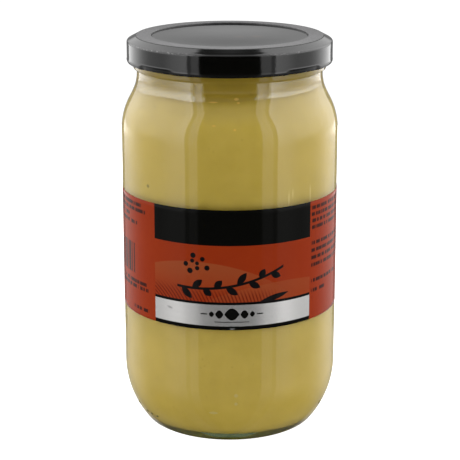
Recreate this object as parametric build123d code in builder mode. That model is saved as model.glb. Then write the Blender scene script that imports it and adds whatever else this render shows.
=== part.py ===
from build123d import *
from math import acos, asin, atan2, cos, degrees, sin, sqrt
import os

# Mustard jar: a round glass jar filled with mustard, shut by a black twist-off lid, with a
# paper label wrapped round its body. Millimetres, +Z up, the front faces -Y. The origin is
# the centre of the flat ring that the jar stands on.

# Glass body
body_r = 45.0            # outer radius of the straight wall
wall = 2.8               # thickness of wall and neck
wall_top_z = 126.1       # height at which the straight wall ends
heel_inset = 11.7        # from the wall in to the outer edge of the bearing ring
heel_r = 38.6            # large arc that runs up into the wall
heel_toe_r = 4.2         # small arc that leaves the bearing ring
bearing_w = 4.5          # width of the bearing ring
punt_h = 2.2             # rise of the hollow inside the bearing ring
floor_z = 4.8            # height of the inner floor at its edge
floor_crown = 1.6        # rise of the inner floor to its middle
floor_corner_r = 7.0     # rounding between inner floor and inner heel

# Shoulder, neck and finish
shoulder_r = 27.5        # convex arc above the wall
flare_r = 42.6           # concave arc between shoulder and neck
flare_lean = 2.1         # from the neck in to where that arc would run straight up
neck_inset = 0.1         # from the finish in to the neck wall
neck_h = 5.0             # from the end of the flare up to the bead
seam_bulge = 0.4         # ridge of the mould joint at the foot of the neck
seam_h = 0.9
bead_out = 1.3           # from the finish out to the bead that shows under the lid
bead_h = 4.0
bead_round = 0.6
finish_r = 38.5          # wall inside the lid
finish_h = 9.0
rim_round = 0.8

# Lid
lid_h = 11.1             # overall height
lid_t = 0.5              # sheet with its lacquer and sealing compound
lid_gap = 0.3            # from the bead to the rolled edge
curl_r = 1.2             # radius of the rolled edge
lid_slope_w = 4.0        # width of the slope between the flat ring and the skirt
lid_slope_h = 2.2
lid_slope_round = 3.0    # rounding between slope and skirt
ring_w = 6.15            # width of the flat ring on top
ring_round = 0.7
panel_drop = 0.8         # depth of the middle panel under the ring
panel_run = 0.7          # width of the step down to the panel
lug_count = 4
lug_span = 22.0          # degrees of the edge that each lug takes
lug_gap = 0.4            # from a lug to the glass
lug_h = 1.2
press_w = 0.8            # how far the edge is pressed in outside a lug
press_h = 2.2

# Label and filling
label_t = 0.12
label_z = 52.2           # height of the label's lower edge
label_h = 49.9
label_gap = 14.0         # bare glass between its two ends, at the back
headspace = 3.6          # from the mustard's surface up to the glass rim

# The neck's radii follow the finish, which the lid's size sets.
bore_r = finish_r - wall
neck_r = finish_r - neck_inset
flare_neck_r = neck_r - flare_lean
bead_r = finish_r + bead_out

# The heel is two arcs that touch: their common point lies at this angle from straight down.
bearing_r = body_r - heel_inset
heel_turn = asin((heel_r - heel_inset) / (heel_r - heel_toe_r))
heel_x = body_r - heel_r
heel_z = heel_toe_r + (heel_r - heel_toe_r) * cos(heel_turn)

# Shoulder and flare also touch, at this angle above the horizontal.
shoulder_x = body_r - shoulder_r
shoulder_turn = acos((flare_neck_r + flare_r - shoulder_x) / (shoulder_r + flare_r))
flare_x = flare_neck_r + flare_r
flare_z = wall_top_z + (shoulder_r + flare_r) * sin(shoulder_turn)


def flare_angle(radius, inset):
    """Angle on the flare, drawn a distance inside the glass, at which it reaches a radius."""
    return acos((flare_x - radius) / (flare_r + inset))


def flare_height(radius, inset):
    """Height of that point."""
    return flare_z - (flare_r + inset) * sin(flare_angle(radius, inset))


# Heights that follow from the arcs, from the neck up to the lid
neck_z = flare_height(neck_r, 0)
bead_z = neck_z + neck_h
finish_z = bead_z + bead_h
rim_z = finish_z + finish_h
lid_top_z = rim_z + lid_t
lid_bottom_z = lid_top_z - lid_h

# The inside of the glass
bore_z = flare_height(bore_r, wall)
level_z = rim_z - headspace
floor_r = heel_x + sqrt((heel_r - wall) ** 2 - (heel_z - floor_z) ** 2)

# The lid's radii, from the bead outwards
lid_r = bead_r + lid_gap + 2 * curl_r
ring_r = lid_r - lid_slope_w
panel_r = ring_r - ring_w


def wall_lines(inset, top_r):
    """Wall, shoulder and flare up to a radius in the neck, a distance inside the glass."""
    end = flare_angle(top_r, inset)
    Line((body_r - inset, heel_z), (body_r - inset, wall_top_z))
    CenterArc((shoulder_x, wall_top_z), shoulder_r - inset, 0, degrees(shoulder_turn))
    CenterArc((flare_x, flare_z), flare_r + inset, 180 + degrees(shoulder_turn),
              degrees(end - shoulder_turn))


def filled_lines(top_z):
    """Half section of what the glass encloses, from its floor up to a height in the neck."""
    start = degrees(atan2(floor_z - heel_z, floor_r - heel_x))
    TangentArc((0, floor_z + floor_crown), (floor_r, floor_z), tangent=(1, 0))
    CenterArc((heel_x, heel_z), heel_r - wall, start, -start)
    wall_lines(wall, bore_r)
    Polyline((bore_r, bore_z), (bore_r, top_z), (0, top_z), (0, floor_z + floor_crown))


def floor_corner(sketch):
    """The corner between inner floor and inner heel."""
    return sketch.vertices().sort_by_distance((floor_r, floor_z))[0]


with BuildPart() as mustard:
    with BuildSketch(Plane.XZ) as filling:
        with BuildLine():
            filled_lines(level_z)
        make_face()
        fillet(floor_corner(filling.sketch_local), floor_corner_r)
    revolve(axis=Axis.Z)

with BuildPart() as glass_jar:
    with BuildSketch(Plane.XZ):
        with BuildLine():
            TangentArc((0, punt_h), (bearing_r - bearing_w, 0), tangent=(1, 0))
            Line((bearing_r - bearing_w, 0), (bearing_r, 0))
            CenterArc((bearing_r, heel_toe_r), heel_toe_r, -90, degrees(heel_turn))
            CenterArc((heel_x, heel_z), heel_r, degrees(heel_turn) - 90, 90 - degrees(heel_turn))
            wall_lines(0, neck_r)
            ThreePointArc((neck_r, neck_z), (neck_r + seam_bulge, neck_z + seam_h / 2),
                          (neck_r, neck_z + seam_h))
            FilletPolyline((neck_r, neck_z + seam_h), (neck_r, bead_z), (bead_r, bead_z),
                           (bead_r, finish_z), (finish_r, finish_z), (finish_r, rim_z),
                           (0, rim_z),
                           radius=[bead_round, bead_round, bead_round, bead_round, rim_round])
            Line((0, rim_z), (0, punt_h))
        make_face()
    revolve(axis=Axis.Z)
    with BuildSketch(Plane.XZ) as hollow:
        with BuildLine():
            filled_lines(rim_z)
        make_face()
        fillet(floor_corner(hollow.sketch_local), floor_corner_r)
    revolve(axis=Axis.Z, mode=Mode.SUBTRACT)
    mouth = edges().filter_by(GeomType.CIRCLE).group_by(Axis.Z)[-1].sort_by(SortBy.RADIUS)[0]
    fillet(mouth, rim_round)

with BuildPart() as lid:
    with BuildSketch(Plane.XZ):
        with BuildLine():
            FilletPolyline((0, lid_top_z - panel_drop), (panel_r - panel_run, lid_top_z - panel_drop),
                           (panel_r, lid_top_z), (ring_r, lid_top_z),
                           (lid_r, lid_top_z - lid_slope_h), (lid_r, lid_bottom_z + curl_r),
                           radius=[ring_round, ring_round, ring_round, lid_slope_round])
            offset(amount=lid_t, side=Side.RIGHT)
        make_face()
        with Locations((lid_r - curl_r, lid_bottom_z + curl_r)):
            Circle(curl_r)
    revolve(axis=Axis.Z)
    for lug in range(lug_count):
        middle = 360 * (lug + 0.5) / lug_count
        start_plane = Plane.XZ.rotated((0, 0, middle - lug_span / 2))
        with BuildSketch(start_plane):
            with Locations((lid_r - curl_r, finish_z + lug_gap)):
                lug_w = lid_r - curl_r - finish_r - lug_gap
                Rectangle(lug_w, lug_h, align=(Align.MAX, Align.MIN))
        revolve(axis=Axis.Z, revolution_arc=lug_span)
        with BuildSketch(start_plane):
            with BuildLine():
                Polyline((lid_r - press_w, lid_bottom_z), (lid_r, lid_bottom_z + press_h),
                         (lid_r, lid_bottom_z), close=True)
            make_face()
        revolve(axis=Axis.Z, revolution_arc=lug_span, mode=Mode.SUBTRACT)

with BuildPart() as label:
    gap_turn = degrees(label_gap / body_r)
    with BuildSketch(Plane.XZ.rotated((0, 0, 90 + gap_turn / 2))):
        with Locations((body_r, label_z)):
            Rectangle(label_t, label_h, align=(Align.MIN, Align.MIN))
    revolve(axis=Axis.Z, revolution_arc=360 - gap_turn)

os.makedirs("parts", exist_ok=True)
for name, piece in (("glass_jar", glass_jar), ("mustard", mustard), ("lid", lid), ("label", label)):
    piece.part.label = name
    export_step(piece.part, f"parts/{name}.step")
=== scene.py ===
import bpy
import math
import numpy as np
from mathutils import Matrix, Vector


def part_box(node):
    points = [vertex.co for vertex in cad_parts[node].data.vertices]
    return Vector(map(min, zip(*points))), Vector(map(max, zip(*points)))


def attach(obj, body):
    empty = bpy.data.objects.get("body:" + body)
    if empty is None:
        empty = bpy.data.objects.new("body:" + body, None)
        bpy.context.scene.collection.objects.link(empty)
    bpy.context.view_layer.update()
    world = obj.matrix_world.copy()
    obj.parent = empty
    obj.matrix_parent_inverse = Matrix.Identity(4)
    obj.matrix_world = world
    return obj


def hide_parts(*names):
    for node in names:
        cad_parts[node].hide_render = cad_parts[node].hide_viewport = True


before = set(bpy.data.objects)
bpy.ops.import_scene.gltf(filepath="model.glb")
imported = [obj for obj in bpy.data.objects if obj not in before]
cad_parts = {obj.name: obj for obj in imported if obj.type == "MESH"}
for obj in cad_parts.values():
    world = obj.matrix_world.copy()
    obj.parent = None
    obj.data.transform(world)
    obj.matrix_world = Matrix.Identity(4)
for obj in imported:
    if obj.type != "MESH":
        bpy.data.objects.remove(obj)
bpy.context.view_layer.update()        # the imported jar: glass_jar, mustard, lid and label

# Lengths in the dictionaries are millimetres and angles are degrees; meshes are in metres.


def nodeSpan(node):
    # lowest and highest height of a CAD node, and its largest radius
    low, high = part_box(node)
    return low.z * 1000, high.z * 1000, high.x * 1000


rimHeight, bodyRadius = nodeSpan("glass_jar")[1:]
lidBottom, lidTop, lidRadius = nodeSpan("lid")
labelBottom, labelTop, labelRadius = nodeSpan("label")
fillLevel = nodeSpan("mustard")[1]


def arcLine(centre, radius, start, end, step=1.2):
    # points at radius from the centre, turned evenly from start to end
    turn = math.radians(end - start)
    count = max(3, math.ceil(abs(turn) * radius / min(step, 0.12 * radius)) + 1)
    angle = np.linspace(math.radians(start), math.radians(end), count)
    return np.stack([centre[0] + radius * np.cos(angle), centre[1] + radius * np.sin(angle)], axis=1)


def straightLine(start, end, step=1.2):
    # evenly spaced points from start to end
    length = math.dist(start, end)
    along = np.linspace(0, 1, max(2, math.ceil(length / step) + 1))[:, None]
    return np.array(start) * (1 - along) + np.array(end) * along


def roundedLine(points, radii, step=1.2):
    # straight runs with each inner corner cut back by radius * tan(turn / 2) and joined by an arc
    points = [np.array(p, float) for p in points]
    pieces = []
    last = points[0]
    for before, corner, after, radius in zip(points, points[1:], points[2:], radii):
        into = (corner - before) / np.linalg.norm(corner - before)
        out = (after - corner) / np.linalg.norm(after - corner)
        turn = math.atan2(into[0] * out[1] - into[1] * out[0], into @ out)
        cut = radius * math.tan(abs(turn) / 2)
        first = corner - into * cut
        side = math.copysign(1, turn)
        centre = first + side * radius * np.array([-into[1], into[0]])
        start = math.degrees(math.atan2(*(first - centre)[::-1]))
        pieces.append(straightLine(last, first, step))
        pieces.append(arcLine(centre, radius, start, start + math.degrees(turn), step))
        last = corner + out * cut
    pieces.append(straightLine(last, points[-1], step))
    return joinLines(*pieces)


def joinLines(*lines):
    # one line of points, without the doubles where two lines meet
    points = np.concatenate(lines)
    steps = np.linalg.norm(np.diff(points, axis=0), axis=1)
    return points[np.concatenate([[True], steps > 1e-4])]


def makeMesh(name, points, faces, smooth=True):
    # points in millimetres, faces as rows of corners
    mesh = bpy.data.meshes.new(name)
    mesh.from_pydata(np.asarray(points) / 1000, [], faces)
    mesh.polygons.foreach_set("use_smooth", np.full(len(mesh.polygons), smooth))
    mesh.update()
    made = bpy.data.objects.new(name, mesh)
    bpy.context.scene.collection.objects.link(made)
    return made


def turnedSurface(name, profile, sides, shift=None):
    # x = r sin(angle), y = -r cos(angle), z from the profile; both ends of the profile lie on the axis.
    # shift gives the change of r and z at each angle and point.
    angle = np.linspace(0, 2 * math.pi, sides, endpoint=False)[None, :]
    radius = np.repeat(profile[1:-1, 0][:, None], sides, axis=1)
    height = np.repeat(profile[1:-1, 1][:, None], sides, axis=1)
    if shift:
        radius, height = shift(radius, height, np.repeat(angle, len(radius), axis=0))
    grid = np.stack([radius * np.sin(angle), -radius * np.cos(angle), height], axis=-1).reshape(-1, 3)
    points = np.concatenate([grid, [[0, 0, profile[0, 1]], [0, 0, profile[-1, 1]]]])
    row = np.arange(len(radius))[:, None] * sides
    column = np.arange(sides)[None, :]
    beside = (column + 1) % sides
    corners = (row[:-1] + column, row[:-1] + beside, row[1:] + beside, row[1:] + column)
    quads = np.stack(corners, axis=-1).reshape(-1, 4).tolist()
    firstRing, lastRing = column[0], row[-1, 0] + column[0]
    start, end = len(grid), len(grid) + 1
    fans = [[start, b, a] for a, b in zip(firstRing.tolist(), np.roll(firstRing, -1).tolist())]
    fans += [[end, a, b] for a, b in zip(lastRing.tolist(), np.roll(lastRing, -1).tolist())]
    return makeMesh(name, points, quads + fans)


glass = {
    "wall": 2.8, "wallTop": 126.1,
    "heelInset": 11.7, "heelRadius": 38.6, "toeRadius": 4.2, "bearingWidth": 4.5, "puntHeight": 2.2,
    "floorHeight": 4.8, "floorCrown": 1.6, "floorCorner": 7.0,
    "shoulderRadius": 27.5, "flareRadius": 42.6, "flareLean": 2.1, "neckInset": 0.1, "neckHeight": 5.0,
    "neckBlend": 1.3, "seamBulge": 0.05, "seamWidth": 0.9,
    "beadOut": 1.3, "beadHeight": 4.0, "beadRound": 0.6, "finishRadius": 38.5, "rimRound": 0.8,
    "sides": 180, "baseSteps": 24, "joinSteps": 20,
}
boreRadius = glass["finishRadius"] - glass["wall"]
neckRadius = glass["finishRadius"] - glass["neckInset"]
beadRadius = glass["finishRadius"] + glass["beadOut"]
bearingRadius = bodyRadius - glass["heelInset"]
heelX = bodyRadius - glass["heelRadius"]
heelReach = glass["heelRadius"] - glass["toeRadius"]
heelTurn = math.asin((glass["heelRadius"] - glass["heelInset"]) / heelReach)
heelZ = glass["toeRadius"] + heelReach * math.cos(heelTurn)
shoulderX = bodyRadius - glass["shoulderRadius"]
flareX = neckRadius - glass["flareLean"] + glass["flareRadius"]
arcSum = glass["shoulderRadius"] + glass["flareRadius"]
shoulderTurn = math.degrees(math.acos((flareX - shoulderX) / arcSum))
flareZ = glass["wallTop"] + arcSum * math.sin(math.radians(shoulderTurn))


def flareAngle(radius, inset):
    # angle on the concave arc, in degrees, where it reaches a radius
    return math.degrees(math.acos((flareX - radius) / (glass["flareRadius"] + inset)))


def flareHeight(radius, inset):
    # height of that point: the arc's middle less its radius * sin(angle)
    return flareZ - (glass["flareRadius"] + inset) * math.sin(math.radians(flareAngle(radius, inset)))


neckHeight = flareHeight(neckRadius, 0)
beadBottom = neckHeight + glass["neckHeight"]
beadTop = beadBottom + glass["beadHeight"]


def wallLine(inset, topRadius):
    # straight wall, convex shoulder and concave flare, moved in by inset
    return joinLines(
        straightLine((bodyRadius - inset, heelZ), (bodyRadius - inset, glass["wallTop"]), 2.0),
        arcLine((shoulderX, glass["wallTop"]), glass["shoulderRadius"] - inset, 0, shoulderTurn),
        arcLine((flareX, flareZ), glass["flareRadius"] + inset, 180 + shoulderTurn,
                180 + flareAngle(topRadius, inset)))


def innerLine(inset, top):
    # floor, inner heel and wall up to a height, drawn inset into the glass from the outside
    floor = glass["floorHeight"] - glass["wall"] + inset
    reach = glass["heelRadius"] - inset
    corner = glass["floorCorner"]
    bore = glass["finishRadius"] - inset
    # the corner arc touches the floor below and the heel arc beside it
    lift = heelZ - floor - corner
    cornerX = heelX + math.sqrt((reach - corner) ** 2 - lift ** 2)
    end = math.degrees(math.atan2(-lift, cornerX - heelX))
    crown = glass["floorCrown"]
    across = np.linspace(0, cornerX, glass["baseSteps"])
    bottom = np.stack([across, floor + crown * (1 - (across / cornerX) ** 2) ** 2], axis=1)
    return joinLines(
        bottom,
        arcLine((cornerX, floor + corner), corner, -90, end),
        arcLine((heelX, heelZ), reach, end, 0),
        wallLine(inset, bore),
        straightLine((bore, flareHeight(bore, inset)), (bore, top)))


def outerLine():
    # from the middle of the punt out over the bearing ring and up to the rim
    ringInside = bearingRadius - glass["bearingWidth"]
    across = np.linspace(0, ringInside, glass["baseSteps"])
    punt = np.stack([across, glass["puntHeight"] * (1 - (across / ringInside) ** 2)], axis=1)
    turn = math.degrees(heelTurn)
    # flare and neck run into each other on a curve that touches both, with the mould's low ridge on it
    flareEnd = neckRadius + glass["neckBlend"]
    lean = math.radians(flareAngle(flareEnd, 0))
    start = flareHeight(flareEnd, 0)
    rise = glass["neckBlend"] / math.tan(lean)
    share = np.linspace(0, 1, glass["joinSteps"])[:, None]
    first, bend, last = np.array([
        [flareEnd, start], [neckRadius, start + rise], [neckRadius, start + 2 * rise]])
    join = (1 - share) ** 2 * first + 2 * share * (1 - share) * bend + share ** 2 * last
    join[:, 0] += glass["seamBulge"] * np.exp(-((join[:, 1] - neckHeight) / glass["seamWidth"]) ** 2)
    finish, bead, soft = glass["finishRadius"], beadRadius, glass["beadRound"]
    top = roundedLine(
        [(neckRadius, start + 2 * rise), (neckRadius, beadBottom), (bead, beadBottom),
         (bead, beadTop), (finish, beadTop), (finish, rimHeight), (boreRadius, rimHeight),
         (boreRadius, rimHeight - 2 * glass["rimRound"])],
        [soft, soft, soft, soft, glass["rimRound"], glass["rimRound"]])
    return joinLines(
        punt,
        straightLine((ringInside, 0), (bearingRadius, 0)),
        arcLine((bearingRadius, glass["toeRadius"]), glass["toeRadius"], -90, turn - 90),
        arcLine((heelX, heelZ), glass["heelRadius"], turn - 90, 0),
        wallLine(0, flareEnd),
        join,
        top)


def buildGlass():
    # one closed profile, outside and inside, turned round the axis
    inside = innerLine(glass["wall"], rimHeight - 2 * glass["rimRound"])[::-1]
    return turnedSurface("jarGlass", joinLines(outerLine(), inside), glass["sides"])


# raised dots of the mould low on the heel: angle, height and radius of each
mouldDots = [(-68.4, 9.6, 0.75), (-59.1, 7.6, 0.6), (-54.3, 7.5, 0.7), (-48.7, 7.5, 0.6), (66.5, 9.9, 0.8),
             (112.0, 7.6, 0.7), (118.5, 7.6, 0.7), (125.0, 7.6, 0.7), (-112.0, 7.6, 0.7)]
dotRise = 0.3
dotSides = 16


def buildMouldDots():
    # each dot is a lens: a circle on the heel's surface, raised by height * cos(quarter turn * distance)
    around = np.linspace(0, 2 * math.pi, dotSides, endpoint=False)[None, :]
    out = np.array([0.35, 0.7, 1.0, 1.0])[:, None]
    lift = np.array([0.93, 0.65, 0.0, -0.5])[:, None] * dotRise
    points, faces = [], []
    for angle, height, size in mouldDots:
        tilt = math.asin((heelZ - height) / glass["heelRadius"])
        turn = math.radians(angle)
        radius = heelX + glass["heelRadius"] * math.cos(tilt)
        side = np.array([math.cos(turn), math.sin(turn), 0])
        flat = math.cos(tilt)
        outward = np.array([math.sin(turn) * flat, -math.cos(turn) * flat, -math.sin(tilt)])
        upward = -np.cross(outward, side)
        middle = np.array([radius * math.sin(turn), -radius * math.cos(turn), height])
        sideways = (size * out * np.cos(around))[..., None] * side
        upwards = (size * out * np.sin(around))[..., None] * upward
        rings = (sideways + upwards + lift[..., None] * outward + middle).reshape(-1, 3)
        start = sum(len(part) for part in points)
        tip, root = start + len(rings), start + len(rings) + 1
        points.append(np.concatenate([rings, [middle + outward * dotRise, middle - outward * dotRise / 2]]))
        index = np.arange(len(rings)).reshape(-1, dotSides) + start
        beside = np.roll(index, -1, axis=1)
        quads = np.stack([index[1:], beside[1:], beside[:-1], index[:-1]], axis=-1).reshape(-1, 4)
        faces += quads.tolist()
        faces += np.stack([index[0], beside[0], np.full(dotSides, tip)], axis=-1).tolist()
        faces += np.stack([beside[-1], index[-1], np.full(dotSides, root)], axis=-1).tolist()
    return makeMesh("mouldDots", np.concatenate(points), faces)


filling = {"reach": 0.2, "surfaceWave": 0.5, "surfaceSteps": 20, "sides": 128}


def buildMustard():
    # fills the glass and reaches just into the wall; its hidden surface dips in low swirls
    side = innerLine(glass["wall"] - filling["reach"], fillLevel)
    edge = side[-1, 0]
    across = np.linspace(edge, 0, filling["surfaceSteps"])[1:]
    surface = np.stack([across, np.full(len(across), fillLevel)], axis=1)

    def swirl(radius, height, angle):
        onTop = height > fillLevel - 1e-6
        wave = np.sin(2 * angle + radius * 0.22) * np.clip((edge - radius) / 8, 0, 1)
        return radius, height - np.where(onTop, filling["surfaceWave"] * (1 + wave) / 2, 0)

    return turnedSurface("mustardFilling", joinLines(side, surface), filling["sides"], swirl)


lid = {
    "sheet": 0.5, "curl": 1.0, "slopeWidth": 4.0, "slopeHeight": 2.2, "slopeRound": 1.0,
    "ringWidth": 6.15, "ringFall": 0.12, "crease": 0.06, "edgeRound": 0.14,
    "panelDrop": 0.65, "panelRun": 0.15, "panelDish": 0.35, "panelFlat": 1.5,
    "lugs": 4, "lugSpan": 24.0, "lugEnd": 4.0, "pressIn": 0.6, "lugReach": 1.2,
    "lineHeight": 1.35, "lugLine": 2.3, "lineOut": 0.11, "lineWidth": 0.26,
    "fineHeight": 3.4, "fineStep": 0.13, "panelSteps": 30, "sides": 288,
}
ringRadius = lidRadius - lid["slopeWidth"]
panelRadius = ringRadius - lid["ringWidth"]


def lidLine():
    # outer skin from the middle of the panel to the rolled edge, then back up inside
    curl, sheet, fall, crease = lid["curl"], lid["sheet"], lid["ringFall"], lid["crease"]
    skirt = lidRadius - lid["lineOut"]
    floor = lidTop - lid["panelDrop"]
    curlZ = lidBottom + curl
    inner = panelRadius - lid["panelRun"]
    dished = inner - lid["panelFlat"]
    across = np.linspace(0, dished, lid["panelSteps"])
    panel = np.stack([across, floor - lid["panelDish"] * (1 - (across / dished) ** 2) ** 2], axis=1)
    soft = lid["edgeRound"]
    outer = roundedLine(
        [(dished, floor), (inner, floor), (panelRadius, lidTop), (ringRadius, lidTop - fall),
         (ringRadius + crease / 2, lidTop - fall - crease), (skirt, lidTop - lid["slopeHeight"]),
         (skirt, lidBottom + lid["fineHeight"])],
        [soft, soft * 1.6, soft / 2, soft / 2, lid["slopeRound"]], 0.5)
    foot = straightLine((skirt, lidBottom + lid["fineHeight"]), (skirt, curlZ), lid["fineStep"])
    roll = arcLine((skirt - curl, curlZ), curl, 0, -270, 0.12)
    lining = skirt - sheet
    inside = roundedLine(
        [(skirt - curl, curlZ + curl), (lining, curlZ + curl + 0.6),
         (lining, lidTop - lid["slopeHeight"] - sheet), (ringRadius, lidTop - sheet * 1.4),
         (0, lidTop - sheet * 3)],
        [0.3, 2.0, 3.0], 1.0)
    return joinLines(panel, outer, foot, roll, inside)


def buildLid():
    # the lid's profile turned round the axis, and pressed at its lugs
    pitch = 2 * math.pi / lid["lugs"]

    def pressLugs(radius, height, angle):
        # a fine raised line runs round the skirt and lifts over each lug; below it, beside a lug,
        # the edge is pressed in, most at its foot, and the press fades out at the lug's ends
        fromLug = np.abs((angle % pitch) - pitch / 2)
        fade = (math.radians(lid["lugSpan"] / 2) - fromLug) / math.radians(lid["lugEnd"]) + 0.5
        fade = np.clip(fade, 0, 1)
        fade = fade * fade * (3 - 2 * fade)
        line = lidBottom + lid["lineHeight"] + fade * (lid["lugLine"] - lid["lineHeight"])
        outside = radius > lidRadius - lid["curl"] - 0.3
        onSkirt = outside & (height < lidBottom + lid["fineHeight"] + 0.5)
        ridge = lid["lineOut"] * np.exp(-((height - line) / lid["lineWidth"]) ** 2)
        low = np.clip((line - height) / (line - lidBottom), 0, 1)
        inLow = np.clip(1.5 - (height - lidBottom) / lid["curl"], 0, 1)
        move = np.where(outside, lid["pressIn"] * low ** 0.8, lid["lugReach"] * inLow)
        return radius - fade * move + np.where(onSkirt, ridge, 0), height

    return turnedSurface("twistLid", lidLine(), lid["sides"], pressLugs)


label = {"gap": 14.0, "lift": 0.005, "steps": 330, "rows": 26}


def buildLabel():
    # a thin section carried round the wall, open at the back
    half = math.pi - label["gap"] / bodyRadius / 2
    angle = np.linspace(-half, half, label["steps"])[None, :]
    inside = bodyRadius + label["lift"]
    soft = (labelRadius - inside) * 0.3
    heights = np.linspace(labelBottom, labelTop, label["rows"])
    outer = np.stack([np.full(label["rows"], labelRadius), heights], axis=1)
    outer[0, 1] += soft
    outer[-1, 1] -= soft
    section = np.concatenate([
        outer, [[labelRadius - soft, labelTop]], [[inside, labelTop]], [[inside, labelBottom]],
        [[labelRadius - soft, labelBottom]]])
    radius, height = section[:, 0][:, None], section[:, 1][:, None]
    grid = np.stack([radius * np.sin(angle), -radius * np.cos(angle), height + 0 * angle], axis=-1)
    ringCount, steps = grid.shape[:2]
    index = np.arange(ringCount * steps).reshape(ringCount, steps)
    above = np.roll(index, -1, axis=0)
    corners = (index[:, :-1], index[:, 1:], above[:, 1:], above[:, :-1])
    quads = np.stack(corners, axis=-1).reshape(-1, 4).tolist()
    ends = [index[:, 0].tolist(), index[::-1, -1].tolist()]
    return makeMesh("wrapLabel", grid.reshape(-1, 3), quads + ends)


jarGlass = buildGlass()
heelDots = buildMouldDots()
mustardFilling = buildMustard()
twistLid = buildLid()
wrapLabel = buildLabel()
print("pieces made:", [(piece.name, len(piece.data.polygons))
                       for piece in (jarGlass, heelDots, mustardFilling, twistLid, wrapLabel)])

for piece, node, slot in ((jarGlass, "glass_jar", "glass"), (mustardFilling, "mustard", "mustard"),
                          (twistLid, "lid", "lid"), (wrapLabel, "label", "label")):
    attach(piece, "root")
    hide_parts(node)
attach(heelDots, "root")


class Number:
    # a socket whose value can be used in sums: each sum adds a Math node
    def __init__(self, paint, socket):
        self.paint = paint
        self.socket = socket

    def math(self, operation, *others):
        values = [other if isinstance(other, Number) else float(other) for other in others]
        return self.paint.number("Math", {"operation": operation}, dict(enumerate([self, *values])))

    def flipped(self, operation, other):
        return self.paint.number("Math", {"operation": operation}, {0: float(other), 1: self})

    def __add__(self, other):
        return self.math("ADD", other)

    def __sub__(self, other):
        return self.math("SUBTRACT", other)

    def __rsub__(self, other):
        return self.flipped("SUBTRACT", other)

    def __mul__(self, other):
        return self.math("MULTIPLY", other)

    def __truediv__(self, other):
        return self.math("DIVIDE", other)

    def __rtruediv__(self, other):
        return self.flipped("DIVIDE", other)

    def __abs__(self):
        return self.math("ABSOLUTE")

    def largest(self, other):
        return self.math("MAXIMUM", other)

    __radd__ = __add__
    __rmul__ = __mul__


class Paint:
    # one material or world, and the nodes that make it
    def __init__(self, owner):
        owner.use_nodes = True
        self.owner = owner
        self.tree = owner.node_tree
        self.tree.nodes.clear()

    def node(self, kind, settings=None, inputs=None):
        made = self.tree.nodes.new("ShaderNode" + kind)
        for key, value in (settings or {}).items():
            setattr(made, key, value)
        for key, value in (inputs or {}).items():
            if isinstance(value, (Number, bpy.types.NodeSocket)):
                self.tree.links.new(getattr(value, "socket", value), made.inputs[key])
            elif isinstance(value, tuple) and made.inputs[key].type == "RGBA":
                made.inputs[key].default_value = (*value, 1)
            else:
                made.inputs[key].default_value = value
        return made

    def number(self, kind, settings=None, inputs=None, output=0):
        return Number(self, self.node(kind, settings, inputs).outputs[output])

    def smooth(self, value, low, high):
        # 0 below low, 1 above high, eased between; the other way round if low is the larger
        return self.number("MapRange", {"interpolation_type": "SMOOTHSTEP"},
                           {"Value": value, "From Min": low, "From Max": high})

    def band(self, value, low, high, edge):
        # 1 between low and high
        return self.smooth(value, low - edge, low + edge) * self.smooth(value, high + edge, high - edge)

    def noise(self, place, scale, detail=2.0, rough=0.5, stretch=(1, 1, 1)):
        spread = self.node("Mapping", None, {"Vector": place, "Scale": stretch}).outputs[0]
        return self.number("TexNoise", None, {"Vector": spread, "Scale": scale, "Detail": detail,
                                              "Roughness": rough})

    def mix(self, factor, first, second):
        # the first colour at factor 0, the second at 1
        return self.node("Mix", {"data_type": "RGBA"}, {0: factor, 6: first, 7: second}).outputs[2]

    def point(self, across, up):
        return self.node("CombineXYZ", None, {0: across, 1: up}).outputs[0]

    def distance(self, point, centre):
        return self.number("VectorMath", {"operation": "DISTANCE"}, {0: point, 1: (*centre, 0)}, "Value")

    def dot(self, point, centre, radius, edge=0.12):
        # a filled circle: the distance from its centre is under the radius
        return self.smooth(self.distance(point, centre), radius + edge, radius - edge)

    def leaf(self, point, centre, turn, half, width, edge=0.08):
        # a pointed oval: across * across + abs(up) is under 1 in the leaf's own lengths
        own = self.node("Mapping", {"vector_type": "TEXTURE"}, {
            "Vector": point, "Location": (*centre, 0), "Rotation": (0, 0, math.radians(turn)),
            "Scale": (half, width, 1)}).outputs[0]
        axes = self.node("SeparateXYZ", None, {0: own})
        across, up = Number(self, axes.outputs[0]), Number(self, axes.outputs[1])
        return self.smooth(across * across + abs(up), 1 + edge / width, 1 - edge / width)

    def ring(self, point, centre, radius, thick, edge=0.1):
        # the line of a circle: the distance from its centre is near the radius
        away = abs(self.distance(point, centre) - radius)
        return self.smooth(away, thick / 2 + edge, thick / 2 - edge)

    def bump(self, height, distance, strength=1.0):
        # height 0 to 1, distance in metres
        return self.node("Bump", None, {"Height": height, "Distance": distance,
                                        "Strength": strength}).outputs[0]


def paintMaterial(name):
    # a new material with the place on the piece, in millimetres, and the angle round the jar from the front
    paint = Paint(bpy.data.materials.new(name))
    paint.place = paint.node("TexCoord").outputs["Object"]
    axes = paint.node("SeparateXYZ", None, {0: paint.place})
    paint.x, paint.y, paint.z = (Number(paint, axes.outputs[i]) * 1000 for i in range(3))
    paint.angle = paint.x.math("ARCTAN2", 0 - paint.y) * (180 / math.pi)
    return paint


def finishMaterial(paint, piece, surface, volume=None):
    # ends the material and gives it to the piece alone
    output = paint.node("OutputMaterial", None, {"Surface": surface})
    if volume:
        paint.tree.links.new(volume, output.inputs["Volume"])
    piece.data.materials.clear()
    piece.data.materials.append(paint.owner)


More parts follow.
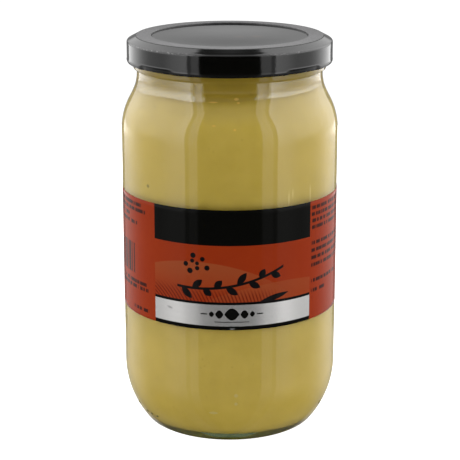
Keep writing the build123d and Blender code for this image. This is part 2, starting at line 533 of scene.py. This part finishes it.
glassLook = {
    "tint": (0.985, 0.995, 0.985), "depth": (0.64, 0.86, 0.40), "density": 18.0, "index": 1.5,
    "waviness": 0.00016, "waveScale": 18.0, "footRoughness": 0.5,
    "dot": (0.10, 0.085, 0.022), "dotPale": (0.16, 0.14, 0.04), "dotRoughness": 0.25, "dotShine": 0.2,
}


def paintGlass(piece):
    paint = paintMaterial(piece.name)
    wave = paint.noise(paint.place, glassLook["waveScale"], 1.0, 0.4, (1, 1, 0.45))
    # the ring the jar stands on and the hollow inside it are stippled
    radius = (paint.x * paint.x + paint.y * paint.y).math("SQRT")
    foot = paint.smooth(paint.z, glass["puntHeight"] + 0.4, glass["puntHeight"] + 0.1)
    foot = foot * paint.smooth(radius, bearingRadius + 0.6, bearingRadius)
    surface = paint.node("BsdfPrincipled", None, {
        "Base Color": glassLook["tint"], "Roughness": foot * glassLook["footRoughness"],
        "IOR": glassLook["index"], "Transmission Weight": 1.0,
        "Normal": paint.bump(wave, glassLook["waviness"])})
    volume = paint.node("VolumeAbsorption", None, {
        "Color": glassLook["depth"], "Density": glassLook["density"]})
    finishMaterial(paint, piece, surface.outputs[0], volume.outputs[0])


def paintDots(piece):
    # the raised dots are too small and steep to let the paste show; they read as dark green glass
    paint = paintMaterial("darkGlass")
    tone = paint.noise(paint.place, 700.0, 1.0)
    surface = paint.node("BsdfPrincipled", None, {
        "Base Color": paint.mix(tone, glassLook["dot"], glassLook["dotPale"]),
        "Roughness": glassLook["dotRoughness"], "Specular IOR Level": glassLook["dotShine"]})
    finishMaterial(paint, piece, surface.outputs[0])


mustardLook = {
    "colour": (0.60, 0.438, 0.092), "pale": (0.65, 0.478, 0.108), "speck": (0.26, 0.16, 0.04),
    "dryAndShadedColour": (0.49, 0.335, 0.050), "dryTop": 151.3, "dryHeight": 143.9, "drySlant": 0.026,
    "dryWave": 1.3, "shadeFadeBelow": 3.0, "bright": (0.85, 0.55, 0.12), "glintShare": 0.9, "markShare": 0.5,
    "mottleScale": 90.0, "cloudScale": 22.0, "gritScale": 420.0, "gritSpread": 160.0, "speckShare": 0.35,
    "roughness": 0.55, "coatRoughness": 0.03, "coatIndex": 1.8,
}

# painted highlights: small glints of light on glossy bubbles in the paste, in the neck: angle, height,
# length and width of each
glintSpots = [(-9.9, 143.6, 1.9, 0.3), (4.1, 144.9, 1.0, 0.6), (5.2, 143.4, 0.6, 0.4), (2.7, 133.6, 0.5, 0.35),
            (-8.6, 135.0, 0.7, 0.25), (97.0, 143.9, 1.1, 0.3), (152.0, 143.8, 0.6, 0.4),
            (-133.0, 143.5, 0.9, 0.3)]

# streaks and specks where the paste meets the glass; the near-white streaks are painted highlights, glints
# of light, and the rest are paler and darker marks: angle, height, length, width and tone of each
pasteMarksAndGlints = [(33.0, 104.5, 3.4, 0.22, 0.95), (35.5, 106.5, 2.2, 0.18, 0.95), (-49.0, 108.0, 0.8, 0.7, 0.12),
              (-49.0, 139.5, 0.4, 0.4, 0.1), (48.0, 105.0, 4.0, 0.25, 0.9), (121.0, 60.0, 4.0, 0.3, 0.9),
              (-130.0, 112.0, 3.0, 0.25, 0.9), (160.0, 33.0, 3.4, 0.3, 0.9), (3.4, 23.3, 0.9, 0.7, 0.6),
              (3.4, 19.6, 0.8, 0.6, 0.6), (-9.2, 15.3, 0.7, 1.6, 0.6)]


def paintMustard(piece):
    look = mustardLook
    paint = paintMaterial("mustardPaste")
    mottle = paint.noise(paint.place, look["mottleScale"], 4.0, 0.6)
    cloud = paint.noise(paint.place, look["cloudScale"], 2.0, 0.5, (1, 1, 2.2))
    tone = paint.smooth(mottle * 0.5 + cloud * 0.5, 0.35, 0.65)
    colour = paint.mix(tone, look["colour"], look["pale"])
    # grains of seed, thick in some places and rare in others
    grit = paint.number("TexVoronoi", {"feature": "F1"}, {"Vector": paint.place, "Scale": look["gritScale"]})
    speck = paint.smooth(grit, 0.16, 0.08)
    speck = speck * paint.smooth(paint.noise(paint.place, look["gritSpread"]), 0.55, 0.62)
    colour = paint.mix(speck * look["speckShare"], colour, look["speck"])
    # in the neck the paste has come away from the glass above an uneven line; above it the colour is darker,
    # partly for dried paste and partly as painted shade under the lid, and it darkens from a little below
    # the line as painted shade of the flare
    uneven = paint.noise(paint.place, 55.0, 3.0, 0.6, (1, 1, 0.1)) - 0.5
    above = paint.z - (look["dryHeight"] + look["drySlant"] * paint.x + 2 * look["dryWave"] * uneven)
    dry = paint.smooth(above, -0.12, 0.12)
    dry = dry * paint.smooth(paint.z, look["dryTop"] + 0.2, look["dryTop"] - 0.2)
    # painted shade: the paste's colour darkens from a little below the line upwards into the neck
    colour = paint.mix(paint.smooth(above, -look["shadeFadeBelow"], 1.5), colour, look["dryAndShadedColour"])
    neckPoint = paint.point(paint.angle * (math.pi / 180 * boreRadius), paint.z)
    # painted highlights: each glint is a spot of bright colour
    for angle, height, long, wide in glintSpots:
        bead = paint.leaf(neckPoint, (math.radians(angle) * boreRadius, height), 0, long, wide)
        colour = paint.mix(bead * look["glintShare"], colour, look["bright"])
    # the near-white streaks are painted highlights; the others are paler and darker marks
    for angle, height, long, wide, tone in pasteMarksAndGlints:
        mark = paint.leaf(neckPoint, (math.radians(angle) * boreRadius, height), 90, long, wide, 0.15)
        colour = paint.mix(mark * look["markShare"], colour, (tone, tone * 0.86, tone * 0.4))
    surface = paint.node("BsdfPrincipled", None, {
        "Base Color": colour, "Roughness": look["roughness"], "Specular IOR Level": 0.0,
        "Coat Weight": dry, "Coat Roughness": look["coatRoughness"], "Coat IOR": look["coatIndex"]})
    finishMaterial(paint, piece, surface.outputs[0])


lidLook = {
    "colour": (0.0018, 0.0018, 0.0015), "roughness": 0.08, "index": 1.5, "scuff": (0.085, 0.083, 0.086),
    "scuffRoughness": 0.13, "creaseRoughness": 0.55, "chip": (0.30, 0.29, 0.29), "chipShare": 0.36,
    "smudge": (0.030, 0.016, 0.009), "bump": 0.00006, "cloudScale": 60.0, "fineScale": 900.0,
    "peelScale": 300.0,
}
# faint smudges on the panel: middle, radius and softness of each
smudges = [((4.0, -1.5), 1.5, 1.4), ((11.0, -1.5), 2.0, 1.8)]


def paintLid(piece):
    look = lidLook
    paint = paintMaterial("blackLacquer")
    radius = (paint.x * paint.x + paint.y * paint.y).math("SQRT")
    cloud = paint.noise(paint.place, look["cloudScale"], 3.0, 0.55)
    fine = paint.noise(paint.place, look["fineScale"], 2.0, 0.5)
    # the flat ring is scuffed by lids stacked on it
    scuff = paint.band(radius, panelRadius - 0.1, ringRadius - 0.1, 0.15)
    scuff = scuff * paint.smooth(paint.z, lidTop - 0.5, lidTop - 0.3)
    # dull lines in the crease outside the ring and at the step down to the panel
    crease = paint.band(radius, ringRadius - 0.05, ringRadius + 0.3, 0.08)
    crease = crease.largest(paint.band(radius, panelRadius - 0.45, panelRadius - 0.05, 0.05))
    crease = crease * paint.smooth(paint.z, lidTop - 1.2, lidTop - 1.0)
    grain = paint.smooth(fine * 0.6 + cloud * 0.4, 0.30, 0.62)
    # lacquer is chipped along the edge where the slope meets the skirt
    edgeZ = lidTop - lid["slopeHeight"]
    chips = paint.band(paint.z, edgeZ - 0.45, edgeZ + 0.35, 0.2)
    chips = chips * paint.smooth(radius, lidRadius - 1.4, lidRadius - 0.8)
    skirtPoint = paint.point(paint.angle * (math.pi / 180 * lidRadius), paint.z)
    worn = paint.smooth(paint.noise(paint.place, 26.0, 1.0), 0.42, 0.54)
    worn = worn * paint.smooth(abs(paint.angle), 16, 26)
    flakes = paint.noise(skirtPoint, 1.6, 3.0, 0.7, (0.35, 1, 1))
    chips = chips * worn * paint.smooth(flakes, 0.50, 0.66)
    colour = paint.mix(scuff * (0.35 + 0.65 * grain), look["colour"], look["scuff"])
    colour = paint.mix(chips * look["chipShare"], colour, look["chip"])
    flat = paint.point(paint.x, paint.y)
    onTop = paint.smooth(paint.z, lidTop - 3.0, lidTop - 2.0)
    for middle, size, soft in smudges:
        colour = paint.mix(paint.dot(flat, middle, size, soft) * onTop, colour, look["smudge"])
    rough = look["roughness"] + 0.05 * (cloud - 0.5) + scuff * (look["scuffRoughness"] - look["roughness"])
    rough = rough + crease * (look["creaseRoughness"] - look["roughness"])
    # the lacquer on slope and skirt is faintly uneven
    peel = paint.noise(paint.place, look["peelScale"], 2.0, 0.6) * 0.3 + fine * 0.08
    peel = peel * paint.smooth(paint.z, lidTop - 1.2, lidTop - 1.8)
    surface = paint.node("BsdfPrincipled", None, {
        "Base Color": colour, "Roughness": rough + chips * 0.3, "IOR": look["index"],
        "Normal": paint.bump(cloud * 0.6 + peel + fine * 0.3 * scuff, look["bump"])})
    finishMaterial(paint, piece, surface.outputs[0])


labelLook = {
    "orange": (0.180, 0.0172, 0.0034), "bright": (0.218, 0.0258, 0.0048), "black": (0.0022, 0.0022, 0.0018),
    "hatch": (0.085, 0.009, 0.003), "hatchMiddle": (-46.0, 48.0), "hatchPitch": 1.35,
    "hatchShare": 0.8, "hill": (0.208, 0.045, 0.0140), "ink": (0.004, 0.0035, 0.0035), "inkShare": 0.88,
    "silver": (0.52, 0.515, 0.505), "silverDark": (0.44, 0.435, 0.425), "scratch": (0.2, 0.2, 0.2),
    "silverMetal": 0.76,
    "blackBottom": 87.5, "silverBottom": 53.86, "silverTop": 62.83, "lineAbove": 1.1,
    "left": -42.2, "right": 46.2, "gloss": 0.05, "roughness": 0.08, "silverRoughness": 0.27,
    "fibreScale": 500.0, "cloudScale": 45.0, "brushScale": 260.0, "bump": 0.000012,
}

# rows of small bars: first and last angle, height of the top row, pitch of the rows, rows, bar length
barRows = [
    (47.4, 97.0, 100.6, 2.75, 4, 1.0), (47.4, 93.0, 85.8, 3.1, 4, 1.1), (47.4, 75.0, 69.8, 3.0, 1, 1.2),
    (47.4, 61.0, 65.8, 4.2, 1, 1.6), (-98.0, -53.0, 100.6, 2.6, 1, 1.4), (-98.0, -49.5, 98.2, 2.7, 1, 1.1),
    (-98.0, -66.0, 95.4, 2.6, 1, 1.1), (-98.0, -57.0, 92.6, 2.6, 1, 1.1), (-98.0, -47.5, 67.4, 2.2, 2, 1.0),
    (-62.0, -47.0, 56.4, 1.8, 1, 0.9),
]
# low hills: middle and radius of the circle whose top each one is, and its strength
hills = [((-14.0, 20.0), 60.5, 0.9), ((24.0, -10.0), 81.5, 0.6)]
stripes = {"left": -98.0, "right": -60.0, "bottom": 69.5, "top": 82.4, "step": 0.75}
sprig = {"start": -22.0, "end": 22.5, "middle": (-14.0, 152.9), "radius": 83.5, "stem": 1.05, "leaves": 9,
         "pitch": 4.6, "leaf": 3.2, "width": 1.4, "lean": 42, "seed": 1.0, "seeds": (-13.5, 79.8),
         "seedCount": 8, "lowLeaf": ((18.4, 65.1), 13.0, 6.8, 1.15)}
# the silver band's mark: distance from its middle, height, half length and half width of each diamond,
# and height, half thickness, start and end of each rule
diamonds = [(0.0, 0.6, 3.1, 2.6), (5.1, 0.5, 1.7, 1.8), (8.3, 0.5, 1.1, 1.2)]
rules = [(0.5, 0.26, 10.0, 12.8), (-2.7, 0.2, -1.0, 7.0)]


def paintSprig(paint, point):
    # a seed branch: a bent stem, leaves to both sides of it, round seeds and one long low leaf
    left, centre, radius = sprig["start"], sprig["middle"], sprig["radius"]
    ink = paint.ring(point, centre, radius, sprig["stem"])
    ink = ink * paint.band(paint.across, left, sprig["end"], 0.3)
    ink = ink * paint.smooth(paint.z, centre[1], centre[1] - 1)
    for number in range(sprig["leaves"]):
        along = left + 2.0 + sprig["pitch"] * number
        slope = math.asin((along - centre[0]) / radius)
        side = 1 if number % 2 else -1
        turn = slope + side * math.radians(sprig["lean"])
        size = sprig["leaf"] * (0.84 + 0.16 * math.cos(number * 1.3))
        stemZ = centre[1] - radius * math.cos(slope)
        middle = (along + size * math.cos(turn), stemZ + size * math.sin(turn))
        ink = ink.largest(paint.leaf(point, middle, math.degrees(turn), size, sprig["width"]))
    # the seeds lie on a spiral: each turns on by a fixed angle, further out by the root of its number
    seedsX, seedsZ = sprig["seeds"]
    for number in range(sprig["seedCount"]):
        turn = number * 2.4
        away = 0.2 + 1.75 * math.sqrt(number)
        seed = (seedsX + 1.25 * away * math.cos(turn), seedsZ + 0.75 * away * math.sin(turn))
        ink = ink.largest(paint.dot(point, seed, sprig["seed"] * (0.82 + 0.05 * number)))
    return ink.largest(paint.leaf(point, *sprig["lowLeaf"]))


def paintBars(paint):
    # small plain bars of uneven length in rows, and a block of upright stripes
    ink = None
    for first, last, top, pitch, rows, length in barRows:
        row = (top - paint.z) / pitch
        inRow = row.math("FRACT")
        line = paint.band(inRow, 0.18, 0.18 + 1.5 / pitch, 0.08)
        block = paint.band(paint.angle, first, last, 0.2) * paint.band(row, 0.0, rows, 0.02)
        seat = paint.point(paint.across / length, row.math("FLOOR") * 7.3 + top)
        gaps = paint.number("TexNoise", {"noise_dimensions": "2D"},
                            {"Vector": seat, "Scale": 1.0, "Detail": 1.0})
        mark = line * block * paint.smooth(gaps, 0.36, 0.44)
        ink = mark if ink is None else ink.largest(mark)
    step = (paint.across / stripes["step"]).math("FLOOR")
    random = paint.number("TexWhiteNoise", {"noise_dimensions": "1D"}, {"W": step})
    block = paint.band(paint.angle, stripes["left"], stripes["right"], 0.15)
    block = block * paint.band(paint.z, stripes["bottom"], stripes["top"], 0.1)
    return ink.largest(block * paint.smooth(random, 0.36, 0.40))


def paintLabel(piece):
    look = labelLook
    paint = paintMaterial("printedPaper")
    paint.across = paint.angle * (math.pi / 180 * labelRadius)
    point = paint.point(paint.across, paint.z)
    edge = 0.06
    centre = paint.band(paint.angle, look["left"], look["right"], 0.06)
    silver = centre * paint.band(paint.z, look["silverBottom"], look["silverTop"], edge)
    black = centre * paint.smooth(paint.z, look["blackBottom"] - edge, look["blackBottom"] + edge)
    ruleTop = look["silverTop"] + look["lineAbove"]
    lines = centre * paint.smooth(paint.z, ruleTop + edge, ruleTop - edge)
    fibre = paint.noise(paint.place, look["fibreScale"], 3.0, 0.6)
    cloud = paint.noise(paint.place, look["cloudScale"], 2.0, 0.5)
    orange = paint.mix(fibre * 0.4 + cloud * 0.6, look["orange"], look["bright"])
    # two low hills in a slightly paler ground: under a large circle to the left and another to the right
    for middle, radius, strength in hills:
        crest = middle[1] + radius
        hill = paint.dot(point, middle, radius, 0.2) * paint.smooth(paint.z, crest - 18, crest)
        orange = paint.mix(hill * centre * strength, orange, look["hill"])
    # fine arcs in the ground colour, fading upwards from the silver band
    away = paint.distance(point, look["hatchMiddle"])
    arcs = paint.smooth((away * (2 * math.pi / look["hatchPitch"])).math("SINE"), -0.4, 0.7)
    fade = paint.smooth(paint.z + paint.across * 0.03, 70.5, 66.0) * paint.smooth(paint.across, 24, 10)
    arcs = arcs * fade * centre
    orange = paint.mix(arcs * look["hatchShare"], orange, look["hatch"])
    colour = paint.mix(black.largest(lines), orange, look["black"])
    ink = paintSprig(paint, point) * (1 - black)
    ink = ink.largest(paintBars(paint) * look["inkShare"])
    colour = paint.mix(ink, colour, look["ink"])
    # a plain mark on the silver band: a row of diamonds between two rules, over a finer rule
    mid = (look["silverBottom"] + look["silverTop"]) / 2
    fromMiddle = abs(paint.across - 0.9)
    folded = paint.point(fromMiddle, paint.z)
    mark = None
    for away, height, long, wide in diamonds:
        diamond = paint.leaf(folded, (away, mid + height), 0, long, wide)
        mark = diamond if mark is None else mark.largest(diamond)
    for height, thick, start, end in rules:
        rule = paint.band(abs(paint.z - mid - height), -thick, thick, 0.06)
        rule = rule * paint.band(fromMiddle, start, end, 0.1)
        mark = mark.largest(rule)
    metal = silver * (1 - mark)
    brushed = paint.noise(paint.place, look["brushScale"], 2.0, 0.5, (0.15, 0.15, 6))
    foil = paint.mix(brushed * 0.5, look["silver"], look["silverDark"])
    foil = paint.mix(paint.leaf(point, (-25.6, 59.8), -12, 1.5, 0.5, 0.3) * 0.5, foil, look["scratch"])
    nick = paint.leaf(point, (1.3, 52.9), 8, 1.3, 0.28, 0.15) * paint.smooth(brushed, 0.45, 0.55)
    colour = paint.mix(nick * 0.6, paint.mix(metal, colour, foil), look["silver"])
    surface = paint.node("BsdfPrincipled", None, {
        "Base Color": colour, "Metallic": metal * look["silverMetal"],
        "Roughness": look["roughness"] + metal * (look["silverRoughness"] - look["roughness"]),
        "Specular IOR Level": look["gloss"], "Normal": paint.bump(fibre, look["bump"])})
    finishMaterial(paint, piece, surface.outputs[0])


paintGlass(jarGlass)
paintDots(heelDots)
paintMustard(mustardFilling)
paintLid(twistLid)
paintLabel(wrapLabel)
print("materials made")


studio = {
    "leftStrip": (-43.3, -34.0), "leftBox": (-152.0, -48.0),  # directions, degrees from the front
    "rightStrip": (34.5, 46.5), "rightBox": (51.5, 152.0),
    "low": 0.2, "knee": 0.9, "level": 1.9, "high": 2.6,  # the boxes' brightness from foot to top
    "innerEdge": 0.25, "boxDip": 0.42, "boxRim": 0.55, "farDip": 0.3, "rightLift": 0.1,
    "stripShare": 0.6, "barShare": 0.3, "boxTop": 67.0, "ceiling": 0.95,
    "backLow": 0.30, "backFoot": 0.25, "backMiddle": 0.92, "backHigh": 0.12,  # the wall behind, upwards
    "wingEnd": 159.0, "wingSpread": 9.0, "gapHigh": 0.5, "table": 0.22, "tableEdge": -16.6,
    "backdrop": 1.1, "floor": (0.8, 0.8, 0.8), "floorGlow": 0.2, "footShadowColour": (0.16, 0.20, 0.12),
    "nearFloor": 130.0, "floorSize": 1.2,
}


def buildWorld():
    # two tall soft boxes beside the jar, a narrow strip inside each, and a dark gap in front
    world = bpy.data.worlds.new("studio")
    bpy.context.scene.world = world
    paint = Paint(world)
    direction = paint.node("TexCoord").outputs["Generated"]
    axes = paint.node("SeparateXYZ", None, {0: direction})
    x, y, z = (Number(paint, axes.outputs[i]) for i in range(3))
    azimuth = x.math("ARCTAN2", 0 - y) * (180 / math.pi)
    elevation = z.math("ARCSINE") * (180 / math.pi)
    edge = 0.6
    strips = paint.band(azimuth, *studio["leftStrip"], edge)
    strips = strips + paint.band(azimuth, *studio["rightStrip"], edge)
    rightBox = paint.band(azimuth, *studio["rightBox"], edge)
    boxes = paint.band(azimuth, *studio["leftBox"], edge) + rightBox
    bars = (paint.band(azimuth, studio["leftBox"][1], studio["leftStrip"][0], edge)
            + paint.band(azimuth, studio["rightStrip"][1], studio["rightBox"][0], edge))
    # the boxes grow brighter from their feet to their tops
    glow = studio["low"] + studio["knee"] * paint.smooth(elevation, -42, -16)
    glow = glow + (studio["level"] - studio["low"] - studio["knee"]) * paint.smooth(elevation, -22, -2)
    glow = glow + (studio["high"] - studio["level"]) * paint.smooth(elevation, -8, 20)
    turned = abs(azimuth)
    inner = 1 + studio["innerEdge"] * paint.smooth(turned, 64, 50) * paint.smooth(elevation, -25, 0)
    # a box is dimmer in its middle than at its two sides, and a bright rail crosses its far part low down
    dip = paint.smooth(turned, 60, 82) * paint.smooth(turned, 126, 96) * paint.smooth(elevation, 2, -8)
    dim = 1 - studio["boxDip"] * dip
    rim = paint.band(elevation, -12, -6.5, 1.5)
    dim = dim + studio["boxRim"] * paint.smooth(turned, 108, 150) * rim
    dim = dim * (1 - studio["farDip"] * paint.smooth(turned, 130, 150) * (1 - rim))
    lit = (boxes + rightBox * studio["rightLift"]) * inner * dim
    lit = (lit + strips * studio["stripShare"] + bars * studio["barShare"]) * glow
    # behind the jar a lit wall ends low, and a dimmer wing joins it to each box
    back = studio["backLow"] + (studio["backMiddle"] - studio["backLow"]) * paint.smooth(elevation, 5, 16)
    back = back + (studio["backHigh"] - studio["backMiddle"]) * paint.smooth(elevation, 12.5, 16)
    back = back - studio["backFoot"] * paint.smooth(elevation, -40, -50)
    boxEnd, wingEnd = studio["rightBox"][1], studio["wingEnd"]
    wingEdge = wingEnd + studio["wingSpread"] * paint.smooth(elevation, 30, 15)
    wing = paint.smooth(turned, boxEnd - 1, boxEnd + 1) * paint.smooth(turned - wingEdge, 1, -1)
    wing = wing * paint.smooth(elevation, 4, 14)
    behind = paint.smooth(turned, boxEnd - 1, boxEnd + 1) * back * (1 - wing) + wing * (1 + 0.02 * elevation)
    # the gap in front is dark low down, over a dim table
    gap = paint.smooth(turned, 36, 34) * paint.smooth(elevation, 22, 56) * studio["gapHigh"]
    tableZ = elevation + turned * 0.016
    table = paint.smooth(tableZ, studio["tableEdge"] + 0.3, studio["tableEdge"] - 0.3)
    table = table * paint.smooth(elevation, -56, -22) * studio["table"] * (1 - boxes)
    around = lit + behind + gap + table
    top = paint.smooth(elevation, studio["boxTop"] - 5, studio["boxTop"] + 5)
    light = around * (1 - top) + top * studio["ceiling"]
    seen = Number(paint, paint.node("LightPath").outputs["Is Camera Ray"])
    strength = seen * studio["backdrop"] + (1 - seen) * light
    background = paint.node("Background", None, {"Color": (1, 1, 1), "Strength": strength})
    paint.node("OutputWorld", None, {"Surface": background.outputs[0]})


def buildFloor():
    # one flat square
    half = studio["floorSize"] * 500
    corners = np.array([[-half, -half, 0], [half, -half, 0], [half, half, 0], [-half, half, 0]])
    floor = makeMesh("studioFloor", corners, [[0, 1, 2, 3]], smooth=False)
    paint = Paint(bpy.data.materials.new("paleFloor"))
    # the floor shines white to the camera alone, so that the jar stands in bare white. It sends light up
    # to matte surfaces, but from further off clear glass looks through it at the studio's dark table.
    path = paint.node("LightPath").outputs
    seen = Number(paint, path["Is Camera Ray"])
    bounced = paint.smooth(Number(paint, path["Diffuse Depth"]), 0.2, 0.8)
    place = paint.node("TexCoord").outputs["Object"]
    away = paint.number("VectorMath", {"operation": "LENGTH"}, {0: place}, "Value") * 1000
    shown = seen.largest(bounced).largest(paint.smooth(away, studio["nearFloor"], studio["nearFloor"] - 40))
    # painted shadow: under the jar's foot the floor's colour is darker and it glows less, a contact shadow
    # for rays that are not the camera's
    footShadow = paint.smooth(away, bearingRadius + 2.0, bearingRadius - 1.0)
    glow = (studio["floorGlow"] * (1 - 0.6 * footShadow)) * (1 - seen) + seen
    surface = paint.node("BsdfPrincipled", None, {
        "Base Color": paint.mix(footShadow, studio["floor"], studio["footShadowColour"]), "Roughness": 0.9,
        "Specular IOR Level": 0.1, "Emission Color": paint.mix(glow, (0, 0, 0), (1, 1, 1)),
        "Emission Strength": 1.0, "Alpha": shown})
    finishMaterial(paint, floor, surface.outputs[0])
    floor.visible_glossy = False


view = {"distance": 654.4, "height": 265.5, "aside": 0.12, "tilt": 74.296, "lens": 125.2}


def buildCamera():
    # stands in front, a little above the jar, and looks down
    data = bpy.data.cameras.new("camera")
    data.lens = view["lens"]
    data.sensor_width = 36.0
    data.clip_start = 0.01
    data.clip_end = 50.0
    camera = bpy.data.objects.new("camera", data)
    camera.location = (view["aside"] / 1000, -view["distance"] / 1000, view["height"] / 1000)
    camera.rotation_euler = (math.radians(view["tilt"]), 0, 0)
    bpy.context.scene.collection.objects.link(camera)
    bpy.context.scene.camera = camera


buildWorld()
buildFloor()
buildCamera()
bpy.context.scene.view_settings.view_transform = "Standard"
print("studio made")
